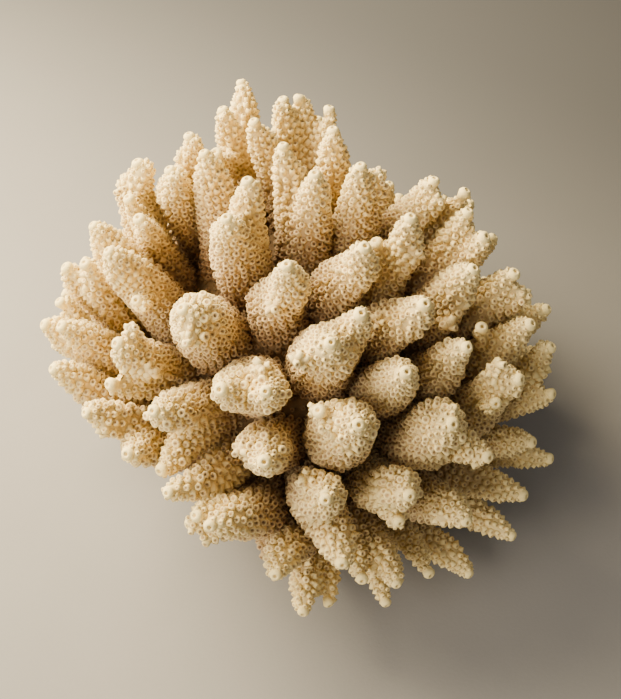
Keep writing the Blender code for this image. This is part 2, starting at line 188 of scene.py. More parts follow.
class Bench:
    """Edit-mode steps on one object, each with its own clean selection."""

    def __init__(self, piece: Object) -> None:
        """Make `piece` the only selected, active object and open it.

        Args:
            piece: the mesh object to work on.
        """
        self.piece = piece
        for other in bpy.context.view_layer.objects:
            other.select_set(False)
        piece.select_set(True)
        bpy.context.view_layer.objects.active = piece
        bpy.ops.object.mode_set(mode="EDIT")

    def pick(self, kind: str, wanted: Callable[[Vector, Vector], bool]) -> "Bench":
        """Select the faces or corners that `wanted` says yes to, and nothing else.

        Args:
            kind: FACE or VERT.
            wanted: takes the place and the normal of one of them.

        Returns:
            The bench itself.
        """
        bpy.ops.mesh.select_mode(type=kind)
        bpy.ops.mesh.select_all(action="DESELECT")
        work = bmesh.from_edit_mesh(self.piece.data)
        for one in work.faces if kind == "FACE" else work.verts:
            place = one.calc_center_median() if kind == "FACE" else one.co
            one.select_set(wanted(place, one.normal))
        work.select_flush_mode()
        bmesh.update_edit_mesh(self.piece.data)
        return self

    def all(self) -> "Bench":
        """Select everything."""
        bpy.ops.mesh.select_all(action="SELECT")
        return self

    def lift(self, height: float) -> "Bench":
        """Move what is selected up by `height` metres, or down where it is negative."""
        bpy.ops.transform.translate(value=(0.0, 0.0, height))
        return self

    def grow(self, share: float) -> "Bench":
        """Scale what is selected sideways about the Z axis, never in height."""
        bpy.ops.transform.resize(value=(share, share, 1.0), center_override=(0.0, 0.0, 0.0))
        return self

    def inset(self, width: float) -> "Bench":
        """Inset the selected faces by `width` metres."""
        bpy.ops.mesh.inset(thickness=width, depth=0.0)
        return self

    def raise_faces(self, height: float) -> "Bench":
        """Extrude the selected faces straight up, or down where `height` is negative."""
        bpy.ops.mesh.extrude_region_move(TRANSFORM_OT_translate={"value": (0.0, 0.0, height)})
        return self

    def poke(self) -> "Bench":
        """Give each selected face a corner in its middle."""
        bpy.ops.mesh.poke()
        return self

    def close(self) -> Object:
        """Leave edit mode.

        Returns:
            The finished object.
        """
        bpy.ops.object.mode_set(mode="OBJECT")
        return self.piece


def corner_arrays(mesh: Mesh) -> tuple[Array, Array]:
    """Read a mesh's corners.

    Args:
        mesh: the mesh.

    Returns:
        Places and normals, one row a corner.
    """
    places = np.empty(len(mesh.vertices) * 3)
    mesh.vertices.foreach_get("co", places)
    normals = np.empty(len(mesh.vertices) * 3, np.float32)
    mesh.vertex_normals.foreach_get("vector", normals)
    return places.reshape(-1, 3), normals.reshape(-1, 3).astype(float)


def face_arrays(mesh: Mesh) -> tuple[Array, Array]:
    """Read a mesh's faces.

    Args:
        mesh: the mesh.

    Returns:
        The corner of each loop, and the number of loops of each face.
    """
    corners = np.empty(len(mesh.loops), np.int32)
    mesh.loops.foreach_get("vertex_index", corners)
    sizes = np.empty(len(mesh.polygons), np.int32)
    mesh.polygons.foreach_get("loop_total", sizes)
    return corners, sizes


def read_stamp(piece: Object, darkness: Callable[[Array], Array], pit_depth: float = 0.0) -> Stamp:
    """Read a modelled shape into arrays, and remove it.

    Args:
        piece: the mesh object.
        darkness: gives the pore value of each corner from its place.
        pit_depth: what the dark corners add to the depth value.

    Returns:
        The shape as a stamp.
    """
    mesh = piece.data
    points, _ = corner_arrays(mesh)
    corners, sizes = face_arrays(mesh)
    bpy.data.objects.remove(piece, do_unlink=True)
    bpy.data.meshes.remove(mesh)
    pore = darkness(points)
    return Stamp(points, corners, sizes, pore, pit_depth * (pore > 0.5))


@dataclass
class RadialCorallite:
    """One radial corallite: a six-sided tube with a wide foot, a thick rim and a pit."""

    sides: int = 6
    rim_radius: float = 0.98 * MM
    foot_radius: float = 1.22 * MM
    height: float = 1.4 * MM
    sunk: float = 1.3 * MM
    wall: float = 0.46 * MM
    pit: float = 1.1 * MM
    lip: float = 0.12 * MM
    shoulder: float = 0.0
    narrow: float = 1.0
    core: float = 0.1 * MM
    throat: float = 0.12 * MM
    lip_from: float = 0.3 * MM
    rim_from: float = 0.6
    # Painted shade as pore values: on the tube's sides and inside its opening
    side_dark: float = 0.42
    wall_dark: float = 0.72

    def model(self) -> Stamp:
        """Model the tube upright at the origin, its lip on the side away from +X.

        Returns:
            The corallite as a stamp.
        """
        bpy.ops.mesh.primitive_cylinder_add(
            vertices=self.sides, radius=self.foot_radius, depth=self.height + self.sunk,
            location=(0.0, 0.0, 0.0))
        bench = Bench(bpy.context.object).all().lift((self.height - self.sunk) / 2.0)
        top = self.height - SLACK
        bench.pick("FACE", lambda place, normal: normal.z > UPWARD and place.z > top)
        bench.grow(self.rim_radius / self.foot_radius)
        if self.shoulder > 0.0:
            bench.raise_faces(self.shoulder).grow(self.narrow)
        bench.inset(self.wall).poke()
        bench.pick("VERT", lambda place, normal: place.z > top and math.hypot(place.x, place.y) < self.core)
        bench.lift(-self.pit)
        bench.pick("VERT", lambda place, normal: place.z > top and place.x < -self.lip_from).lift(self.lip)
        bench.pick("VERT", lambda place, normal: place.z > top and place.x > self.lip_from).lift(-self.lip)
        return read_stamp(bench.close(), self.darkness)

    def darkness(self, points: Array) -> Array:
        """Give each corner its pore value, which is painted shade: darkest in the pit, less inside the
        opening and on the sides, none on the rim.

        Args:
            points: the corners' places.

        Returns:
            A value from 0 to 1 for each.
        """
        height = points[:, 2]
        out = np.hypot(points[:, 0], points[:, 1])
        opening = self.rim_radius * self.narrow - self.wall + self.throat
        dark = np.where(height > self.height * self.rim_from, 0.0, self.side_dark)
        dark = np.where((height > 0.0) & (out < opening), self.wall_dark, dark)
        return np.where((height > -0.5 * MM) & (out < self.core), 1.0, dark)


@dataclass
class CupCorallite(RadialCorallite):
    """A corallite that has grown out into a round cup with a thick rim."""

    sides: int = 10
    rim_radius: float = 1.32 * MM
    foot_radius: float = 1.42 * MM
    height: float = 1.55 * MM
    sunk: float = 1.6 * MM
    wall: float = 0.5 * MM
    pit: float = 1.1 * MM
    lip: float = 0.1 * MM
    shoulder: float = 0.34 * MM
    narrow: float = 0.82


@dataclass
class AxialCorallite:
    """The corallite that ends a finger: a smooth dome with a small round hole."""

    sides: int = 12
    foot_radius: float = 2.1 * MM
    shoulder_radius: float = 1.82 * MM
    rim_radius: float = 1.1 * MM
    hole_radius: float = 0.6 * MM
    height: float = 1.25 * MM
    sunk: float = 2.4 * MM
    root_share: float = 0.62
    neck_share: float = 0.78
    rises: tuple = (0.55, 0.3, 0.15)
    hole_depth: float = 1.4 * MM
    # Painted shade in the hole, and pit_depth darkens its bottom further through the depth value
    wall_dark: float = 0.35
    pit_depth: float = 0.3

    def model(self) -> Stamp:
        """Model the dome upright, its top at the origin.

        Returns:
            The corallite as a stamp.
        """
        bpy.ops.mesh.primitive_cylinder_add(
            vertices=self.sides, radius=self.foot_radius, depth=self.sunk, location=(0.0, 0.0, 0.0))
        bench = Bench(bpy.context.object).all().lift(-self.height - self.sunk / 2.0)
        bench.pick("FACE", lambda place, normal: normal.z < -UPWARD).grow(self.root_share)
        bench.pick("FACE", lambda place, normal: normal.z > UPWARD)
        radii = (self.shoulder_radius, self.neck_share * self.shoulder_radius, self.rim_radius)
        last = self.foot_radius
        for rise, radius in zip(self.rises, radii):
            bench.raise_faces(rise * self.height).grow(radius / last)
            last = radius
        bench.inset(self.rim_radius - self.hole_radius)
        bench.raise_faces(-self.hole_depth).poke()
        return read_stamp(bench.close(), self.darkness, self.pit_depth)

    def darkness(self, points: Array) -> Array:
        """Give each corner its pore value, which is painted shade: only in the hole, darkest at its bottom.

        Args:
            points: the corners' places.

        Returns:
            A value from 0 to 1 for each.
        """
        height = points[:, 2]
        hole = np.hypot(points[:, 0], points[:, 1]) < self.hole_radius + 5.0 * SLACK
        inside = hole & (height > -self.height - 10.0 * SLACK)
        deep = height < -0.5 * self.hole_depth
        return np.where(inside & deep, 1.0, np.where(inside, self.wall_dark, 0.0))


@dataclass
class Shape:
    """Many stamps and a stem gathered into one mesh."""

    points: list = field(default_factory=list)
    corners: list = field(default_factory=list)
    sizes: list = field(default_factory=list)
    values: dict = field(default_factory=dict)
    count: int = 0

    def add(self, points: Array, corners: Array, sizes: Array, values: dict[str, Array]) -> None:
        """Add one lot of faces.

        Args:
            points: corner places.
            corners: corner of each loop, counted from this lot's first corner.
            sizes: loops in each face.
            values: a number for each corner under each attribute's name.
        """
        self.points.append(points)
        self.corners.append(corners + self.count)
        self.sizes.append(sizes)
        for name, numbers in values.items():
            self.values.setdefault(name, []).append(numbers)
        self.count += len(points)

    def add_mesh(self, mesh: Mesh, pore: Array, depth: Array) -> None:
        """Add a mesh's faces.

        Args:
            mesh: the mesh.
            pore: painted shade of each corner.
            depth: depth value of each corner.
        """
        places, _ = corner_arrays(mesh)
        values = {"pore": pore, "tone": np.zeros(len(places)), "depth": depth}
        self.add(places, *face_arrays(mesh), values)

    def add_copies(self, stamp: Stamp, stand: Stand) -> None:
        """Add copies of a stamp.

        Args:
            stamp: the shape to copy.
            stand: how the copies stand.
        """
        side = unit(on_surface(stand.sides, stand.axes))
        turn = np.stack([side, np.cross(stand.axes, side), stand.axes], axis=2)
        local = stamp.points[None, :, :] * stand.scales[:, None, (0, 0, 1)]
        points = np.einsum("nij,nkj->nki", turn, local) + stand.places[:, None, :]
        number, each = points.shape[:2]
        corners = stamp.corners + np.arange(number)[:, None] * each
        depth = np.repeat(stand.depth, each) + np.tile(stamp.depth, number)
        values = {"pore": np.tile(stamp.pore, number), "tone": np.repeat(stand.tone, each),
                  "depth": depth}
        sizes = np.tile(stamp.sizes, number)
        self.add(points.reshape(-1, 3), corners.ravel(), sizes, values)

    def piece(self, name: str, stem: Object) -> Object:
        """Write all lots into one object, which takes the stem's place.

        Args:
            name: the object's and its mesh's name.
            stem: the stem's object, which is removed.

        Returns:
            The piece, shaded smooth, with its attributes.
        """
        points = np.concatenate(self.points)
        corners = np.concatenate(self.corners).astype(np.int32)
        sizes = np.concatenate(self.sizes).astype(np.int32)
        made = bpy.data.meshes.new(name)
        made.vertices.add(len(points))
        made.vertices.foreach_set("co", points.astype(np.float32).ravel())
        made.loops.add(len(corners))
        made.loops.foreach_set("vertex_index", corners)
        made.polygons.add(len(sizes))
        starts = np.concatenate(([0], np.cumsum(sizes)[:-1])).astype(np.int32)
        made.polygons.foreach_set("loop_start", starts)
        made.polygons.foreach_set("use_smooth", np.ones(len(sizes), bool))
        made.update(calc_edges=True)
        for label, lots in self.values.items():
            layer = made.attributes.new(label, "FLOAT", "POINT")
            layer.data.foreach_set("value", np.concatenate(lots).astype(np.float32))
        bpy.data.objects.remove(stem, do_unlink=True)
        piece = bpy.data.objects.new(name, made)
        bpy.context.scene.collection.objects.link(piece)
        return piece


def unit(vectors: Array) -> Array:
    """Scale each row to length one."""
    return vectors / np.maximum(np.linalg.norm(vectors, axis=-1, keepdims=True), 1e-12)


def on_surface(vectors: Array, normals: Array) -> Array:
    """Take from each vector what runs along its normal."""
    return vectors - (vectors * normals).sum(1, keepdims=True) * normals


def leaning(normals: Array, along: Array, degrees: Array) -> Array:
    """Turn each normal towards `along` by its number of degrees."""
    angle = np.radians(degrees)[:, None]
    return normals * np.cos(angle) + along * np.sin(angle)


def ramp(values: Array, start: float, over: float) -> Array:
    """Go from 0 at `start` to 1 after another `over`."""
    return np.clip((values - start) / over, 0.0, 1.0)


def rise_from(low: float, share: Array) -> Array:
    """Go from `low` to 1 while `share` goes from 0 to 1."""
    return low + (1.0 - low) * share


def ahead_and_beside(places: Array, start: Array, aim: Array) -> tuple[Array, Array]:
    """How far each place is ahead of `start` along `aim`, and how far from that line."""
    ahead = (places - start) @ aim
    return ahead, np.linalg.norm(places - start - ahead[:, None] * aim, axis=1)


def move_corners(mesh: Mesh, places: Array) -> None:
    """Move a mesh's corners to new places."""
    mesh.vertices.foreach_set("co", places.astype(np.float32).ravel())
    mesh.update()


def place_tree(places: Array) -> KDTree:
    """Put places in a search tree.

    Args:
        places: one row a place.

    Returns:
        A tree that finds those near a given place.
    """
    tree = KDTree(len(places))
    for i, place in enumerate(places):
        tree.insert(place, i)
    tree.balance()
    return tree


def surface_tree(meshes: Sequence[Mesh]) -> BVHTree:
    """Put the faces of some meshes in one search tree.

    Args:
        meshes: the meshes.

    Returns:
        A tree that finds the nearest of their surfaces.
    """
    points: list = []
    faces: list = []
    for mesh in meshes:
        start = len(points)
        points.extend(corner.co.copy() for corner in mesh.vertices)
        faces.extend([start + i for i in face.vertices] for face in mesh.polygons)
    return BVHTree.FromPolygons(points, faces)


def clearance(skin: BVHTree, places: Array) -> Array:
    """Measure how far each place is outside a surface.

    Args:
        skin: the surface.
        places: one row a place.

    Returns:
        Distances, below 0 where the place is inside.
    """
    found = np.empty(len(places))
    for i, place in enumerate(places):
        near, normal, _, apart = skin.find_nearest(Vector(place))
        found[i] = apart if (Vector(place) - near).dot(normal) > 0.0 else -apart
    return found


def distances(tree: BVHTree, places: Array) -> Array:
    """Distance from each place to the nearest surface in the tree."""
    return np.array([tree.find_nearest(Vector(place))[3] for place in places])


@dataclass
class Stem:
    """The smooth body of a branch or the trunk, inside the solid that it follows."""

    node: str
    voxel: float = 1.7 * MM
    inset: float = 1.1 * MM
    rounds: int = 6
    lump_height: float = 0.9 * MM
    lump_width: float = 7.0 * MM
    most_shift: float = 1.6 * MM
    shift_share: float = 0.9

    def model(self) -> Object:
        """Copy the CAD node's mesh, join it up, remesh, smooth and shrink it.

        Returns:
            The stem as a mesh object with its modifiers applied.
        """
        piece = bpy.data.objects.new(self.node + "_stem", SOLIDS[self.node].copy())
        bpy.context.scene.collection.objects.link(piece)
        piece.data.materials.clear()
        bench = Bench(piece).all()
        bpy.ops.mesh.remove_doubles(threshold=SLACK)
        bench.close()
        fine = piece.modifiers.new("Fine grid", "REMESH")
        fine.mode = "VOXEL"
        fine.voxel_size = self.voxel
        self.soften(piece, self.rounds)
        self.apply(piece)
        self.keep_inset(piece)
        lumps = piece.modifiers.new("Lumps", "DISPLACE")
        lumps.strength = self.lump_height
        lumps.mid_level = 0.5
        lumps.texture = bpy.data.textures.new(self.node + "_lumps", "CLOUDS")
        lumps.texture.noise_scale = self.lump_width
        lumps.texture.noise_depth = 1
        lumps.texture_coords = "LOCAL"
        self.soften(piece, 2)
        self.apply(piece)
        return piece

    @staticmethod
    def soften(piece: Object, rounds: int) -> None:
        """Add a smoothing modifier of that many rounds, half a step each."""
        soft = piece.modifiers.new("Soft", "SMOOTH")
        soft.factor, soft.iterations = 0.5, rounds

    @staticmethod
    def apply(piece: Object) -> None:
        """Apply all modifiers of the piece in order."""
        for step in list(piece.modifiers):
            bpy.ops.object.modifier_apply(modifier=step.name)

    def keep_inset(self, piece: Object) -> None:
        """Move each corner along its normal until it is the inset under the solid's skin.

        Args:
            piece: the stem, smoothed.
        """
        skin = surface_tree([SOLIDS[self.node]])
        places, normals = corner_arrays(piece.data)
        shift = np.empty(len(places))
        for i, (place, normal) in enumerate(zip(places, normals)):
            near, _, _, apart = skin.find_nearest(Vector(place))
            inside = (near - Vector(place)).dot(Vector(normal)) > 0.0
            shift[i] = (apart if inside else -apart) - self.inset
        shift = np.clip(shift, -self.most_shift, self.most_shift) * self.shift_share
        move_corners(piece.data, places + normals * shift[:, None])


@dataclass
class Sites:
    """Evenly spread places on a stem where corallites grow."""

    places: Array
    normals: Array

    @classmethod
    def spread(cls, mesh: Mesh, spacing: Callable[[Array], Array], closest: float,
               rand: np.random.Generator, tries: float) -> "Sites":
        """Throw places on the mesh and keep those that have room.

        Args:
            mesh: the stem's mesh.
            spacing: gives the room that a corallite needs at each place.
            closest: the least room anywhere, in metres.
            rand: seeded random numbers.
            tries: how many places are thrown for each that fits.

        Returns:
            The places that were kept, with the surface normal at each.
        """
        mesh.calc_loop_triangles()
        corners = np.empty(len(mesh.loop_triangles) * 3, np.int32)
        mesh.loop_triangles.foreach_get("vertices", corners)
        corners = corners.reshape(-1, 3)
        co, no = corner_arrays(mesh)
        a, b, c = co[corners[:, 0]], co[corners[:, 1]], co[corners[:, 2]]
        areas = np.linalg.norm(np.cross(b - a, c - a), axis=1) / 2.0
        total = int(areas.sum() / closest ** 2 * tries)
        chosen = rand.choice(len(areas), total, p=areas / areas.sum())
        u, v = rand.random(total), rand.random(total)
        flip = u + v > 1.0
        u, v = np.where(flip, 1.0 - u, u)[:, None], np.where(flip, 1.0 - v, v)[:, None]
        places = a[chosen] * (1.0 - u - v) + b[chosen] * u + c[chosen] * v
        faces = corners[chosen]
        normals = unit(no[faces[:, 0]] * (1.0 - u - v) + no[faces[:, 1]] * u + no[faces[:, 2]] * v)
        room = spacing(places)
        tree = place_tree(places)
        free = np.ones(total, bool)
        kept = []
        for i in range(total):
            if not free[i] or room[i] <= 0.0:
                continue
            kept.append(i)
            for _, j, _ in tree.find_range(places[i], room[i]):
                free[j] = False
        return cls(places[kept], normals[kept]).settle(mesh, room[kept])

    def settle(self, mesh: Mesh, room: Array, rounds: int = 4,
               reach_share: float = 1.45, push: float = 0.16) -> "Sites":
        """Push crowded places apart along the surface, so that they lie evenly.

        Args:
            mesh: the stem's mesh.
            room: room of each place.
            rounds: how often they are pushed.
            reach_share: how far a place pushes, beside its room.
            push: how much of an overlap one push takes away.

        Returns:
            The places themselves.
        """
        if len(self.places) < 3:
            return self
        skin = surface_tree([mesh])
        for _ in range(rounds):
            tree = place_tree(self.places)
            moved = self.places.copy()
            for i, place in enumerate(self.places):
                reach = room[i] * reach_share
                for _, j, apart in tree.find_range(place, reach):
                    if j != i:
                        away = (place - self.places[j]) / max(apart, 1e-7)
                        moved[i] += away * (reach - apart) * push
            for i, place in enumerate(moved):
                near, normal, _, _ = skin.find_nearest(Vector(place))
                self.places[i] = near
                self.normals[i] = 0.5 * self.normals[i] + 0.5 * np.array(normal)
        self.normals = unit(self.normals)
        return self


class Socket:
    """A value in a material's node tree, with arithmetic that adds Math nodes."""

    def __init__(self, graph: "Graph", output: bpy.types.NodeSocket) -> None:
        """Wrap a node's output."""
        self.graph = graph
        self.output = output

    def _math(self, operation: str, first: object, second: object) -> "Socket":
        """Add one Math node."""
        return self.graph.node("ShaderNodeMath", {"operation": operation}, [first, second])

    def __add__(self, other: object) -> "Socket":
        """Add."""
        return self._math("ADD", self, other)

    __radd__ = __add__

    def __sub__(self, other: object) -> "Socket":
        """Take away."""
        return self._math("SUBTRACT", self, other)

    def __mul__(self, other: object) -> "Socket":
        """Multiply."""
        return self._math("MULTIPLY", self, other)

    def clamp(self) -> "Socket":
        """Keep the value between 0 and 1.

        Returns:
            The kept value.
        """
        made = self._math("ADD", self, 0.0)
        made.output.node.use_clamp = True
        return made


class Graph:
    """Builds the node tree of one material."""

    def __init__(self, name: str) -> None:
        """Start a material with an empty tree.

        Args:
            name: the material's name.
        """
        self.material = bpy.data.materials.new(name)
        self.material.use_nodes = True
        self.tree = self.material.node_tree
        self.tree.nodes.clear()

    def node(self, kind: str, settings: dict | None = None,
             inputs: dict | list | None = None, out: int | str = 0) -> Socket:
        """Add a node.

        Args:
            kind: the node's type.
            settings: properties that are set before the sockets.
            inputs: values or links by socket name or number.
            out: which output to return.

        Returns:
            The wrapped output.
        """
        made = self.tree.nodes.new(kind)
        for key, value in (settings or {}).items():
            setattr(made, key, value)
        pairs = inputs.items() if isinstance(inputs, dict) else enumerate(inputs or [])
        for key, value in pairs:
            socket = made.inputs[key]
            if isinstance(value, Socket):
                self.tree.links.new(value.output, socket)
            elif value is not None:
                socket.default_value = value
        return Socket(self, made.outputs[out])

    def attribute(self, name: str) -> Socket:
        """Read a mesh attribute as a number."""
        return self.node("ShaderNodeAttribute", {"attribute_name": name}, out="Fac")

    def place(self) -> Socket:
        """Object coordinates."""
        return self.node("ShaderNodeTexCoord", out="Object")

    def ease(self, value: Socket, low: float, high: float) -> Socket:
        """Go smoothly from 0 to 1 while `value` goes from `low` to `high`."""
        sockets = {0: value, 1: low, 2: high, 3: 0.0, 4: 1.0}
        return self.node("ShaderNodeMapRange", {"interpolation_type": "SMOOTHSTEP"}, sockets)

    def noise(self, place: Socket, scale: float, detail: float = 2.0,
              roughness: float = 0.5) -> Socket:
        """Noise on a place, about 0.5 in the middle."""
        sockets = {"Vector": place, "Scale": scale, "Detail": detail, "Roughness": roughness}
        return self.node("ShaderNodeTexNoise", {"noise_dimensions": "3D"}, sockets, out=0)

    def blend(self, share: Socket | float, first: object, second: object,
              how: str = "MIX") -> Socket:
        """Mix two colours.

        Args:
            share: how much of the second.
            first: colour or link.
            second: colour or link.
            how: the blend type.

        Returns:
            The mixed colour.
        """
        settings = {"data_type": "RGBA", "blend_type": how}
        return self.node("ShaderNodeMix", settings, {0: share, 6: first, 7: second}, out=2)

    def finish(self, colour: Socket, roughness: object, bump: Socket, depth: float,
               strength: float, gloss: float) -> Material:
        """Add the shader and the output.

        Args:
            colour: base colour.
            roughness: number or link.
            bump: height.
            depth: what a height of one means, in metres.
            strength: how much the bump counts.
            gloss: how strong reflections are.

        Returns:
            The material.
        """
        levels = {"Strength": strength, "Distance": depth, "Height": bump}
        sockets = {"Base Color": colour, "Roughness": roughness, "Specular IOR Level": gloss,
                   "Normal": self.node("ShaderNodeBump", None, levels)}
        shader = self.node("ShaderNodeBsdfPrincipled", None, sockets)
        end = self.tree.nodes.new("ShaderNodeOutputMaterial")
        self.tree.links.new(shader.output, end.inputs["Surface"])
        return self.material


@dataclass(frozen=True)
class SkeletonFinish:
    """Dry coral skeleton: cream at the tips and tan farther back, partly its own tone and partly painted
    shade, with painted shade darkening it towards the roots, between the corallites and in the pits.
    """

    name: str
    cream: tuple = (0.97, 0.775, 0.335, 1.0)
    tan: tuple = (0.47, 0.315, 0.155, 1.0)
    # Painted shade towards the roots and in the colony's core
    stain: tuple = (0.21, 0.12, 0.052, 1.0)
    # light_pit and dark_pit: painted shade in the pits
    light_pit: tuple = (0.55, 0.35, 0.15, 1.0)
    dark_pit: tuple = (0.10, 0.042, 0.014, 1.0)
    # between: painted shade between and below the corallite rims; back: how strongly the depth value adds
    # tan tone and painted shade
    between: float = 0.42
    back: float = 1.0
    cloud_scale: float = 55.0
    speck_scale: float = 620.0
    grain_scale: float = 1500.0
    mottle: float = 0.4
    speckle: float = 0.35
    relief: float = 0.22 * MM

    def material(self) -> Material:
        """Build the finish.

        Returns:
            The material.
        """
        graph = Graph(self.name)
        place = graph.place()
        pore = graph.attribute("pore")
        tone = graph.attribute("tone")
        depth = graph.attribute("depth")
        cloud = graph.noise(place, self.cloud_scale, 3.0, 0.55)
        grain = graph.noise(place, self.grain_scale, 2.0, 0.65)
        speck = graph.noise(place, self.speck_scale, 2.0, 0.6)
        # The pore value is painted shade: low darkens between the corallites, deep paints the pits
        low = graph.ease(pore, 0.0, 0.5)
        deep = graph.ease(pore, 0.5, 0.95)
        # Tan farther back from the tips, partly the skeleton's own tone and partly painted shade; the
        # clouds add real mottling
        away = (depth * (1.15 * self.back) + (cloud - 0.5) * self.mottle).clamp()
        share = (away + low * self.between + (speck - 0.5) * self.speckle).clamp()
        skin = graph.blend(share, self.cream, self.tan)
        # Painted shade: darker towards the roots and the core
        root = graph.ease(depth + (cloud - 0.5) * 0.5, 0.38, 1.0)
        skin = graph.blend(root, skin, self.stain)
        shade = (tone * 0.10 + (grain - 0.5) * 0.22 + 0.94).clamp()
        grey = graph.node("ShaderNodeCombineColor", None, [shade, shade, shade])
        skin = graph.blend(1.0, skin, grey, "MULTIPLY")
        # Painted shade in the pits, darker deeper in the colony
        hollow = (depth * 1.5 + (cloud - 0.5) * 0.9 + 0.08).clamp()
        pit = graph.blend(hollow, self.light_pit, self.dark_pit)
        skin = graph.blend(deep, skin, pit)
        height = grain * 0.6 + speck * 0.8
        rough = 0.78 + speck * 0.18
        return graph.finish(skin, rough, height, self.relief, strength=0.75, gloss=0.28)


@dataclass(frozen=True)
class SheetFinish:
    """The pale sheet under the coral, in less light at its far right."""

    colour: tuple = (0.245, 0.228, 0.20, 1.0)
    fleck: tuple = (0.218, 0.202, 0.175, 1.0)
    far: tuple = (0.085, 0.081, 0.075, 1.0)
    near_edge: float = -0.07
    far_edge: float = 0.30
    turn: float = 0.55

    def material(self) -> Material:
        """Build the finish.

        Returns:
            The material.
        """
        graph = Graph("pale sheet")
        place = graph.place()
        cloud = graph.noise(place, 14.0, 4.0, 0.6)
        grain = graph.noise(place, 900.0, 2.0, 0.6)
        share = ((cloud - 0.35) * 1.4 + (grain - 0.5) * 0.5).clamp()
        colour = graph.blend(share, self.colour, self.fleck)
        x = graph.node("ShaderNodeSeparateXYZ", None, [place], out=0)
        y = graph.node("ShaderNodeSeparateXYZ", None, [place], out=1)
        away = graph.ease(y + x * self.turn, self.near_edge, self.far_edge)
        colour = graph.blend(away, colour, self.far)
        return graph.finish(colour, 0.85, grain, 0.1 * MM, strength=0.4, gloss=0.25)


@dataclass
class Colony:
    """What all branches share: the stamps, the trees and the finishes."""

    radial: Stamp
    cup: Stamp
    axial: Stamp
    trunk_tree: BVHTree
    branch_tree: BVHTree
    branch_finish: Material
    trunk_finish: Material


@dataclass
class Grown:
    """What the trunk and the branches have in common.

    Attributes:
        node: the node that it replaces.
        seed: where its random numbers start.
        colony: what all pieces share.
        shape: its faces, as far as they are made.
    """

    node: str
    seed: int
    colony: Colony
    shape: Shape = field(default_factory=Shape)

    def __post_init__(self) -> None:
        """Start the random numbers."""
        self.rand = np.random.default_rng(self.seed)


